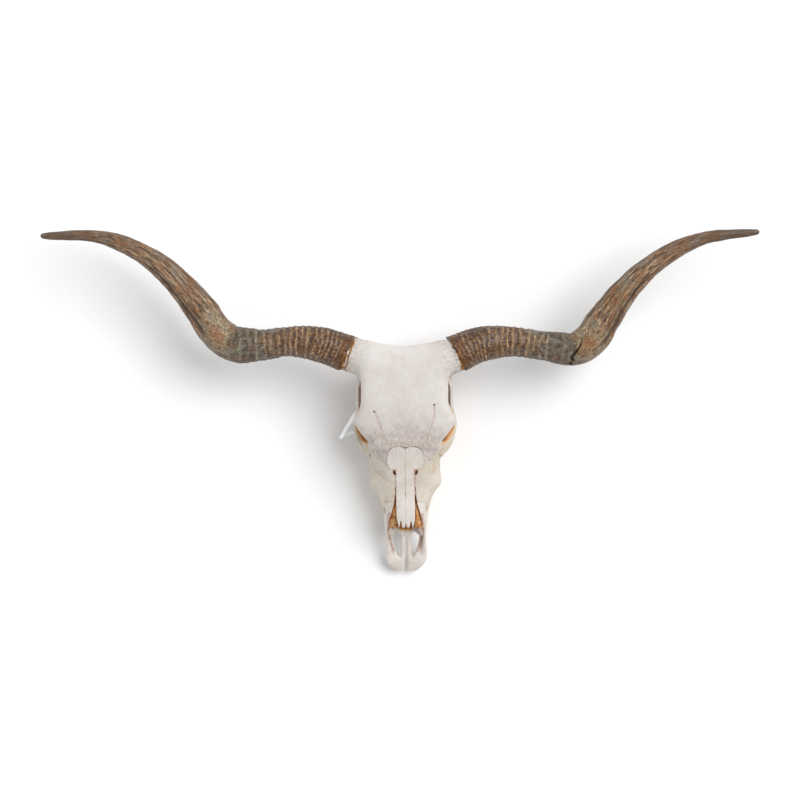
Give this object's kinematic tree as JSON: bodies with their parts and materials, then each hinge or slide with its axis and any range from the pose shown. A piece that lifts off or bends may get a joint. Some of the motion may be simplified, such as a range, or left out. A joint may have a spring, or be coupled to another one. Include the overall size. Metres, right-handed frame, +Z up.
{
  "type": "longhorn steer skull",
  "caption": "Bleached longhorn steer's skull without its lower jaw, with wide upswept horns and a hanging tie at one eye socket.",
  "frame": {"origin": "centre of the base of the bounding box: on the surface that the skull lies on, below the middle of the horn span", "axes": "+X along the horn span towards the right of the face as it is looked at, +Y from the nose towards the poll, +Z up out of the forehead"},
  "size_m": [1.6807, 0.8067, 0.207],
  "materials": {
    "bone": "dry bleached bone, matt",
    "horn": "ridged keratin, satin",
    "nylon": "white moulded nylon"
  },
  "bodies": {
    "root": {"cranium": "bone", "nasal_left": "bone", "nasal_right": "bone", "lacrimal_left": "bone", "lacrimal_right": "bone", "zygomatic_left": "bone", "zygomatic_right": "bone", "maxilla_left": "bone", "maxilla_right": "bone", "premaxilla_left": "bone", "premaxilla_right": "bone", "horn_left": "horn", "horn_right": "horn", "hanging_tie": "nylon"}
  },
  "joints": []
}
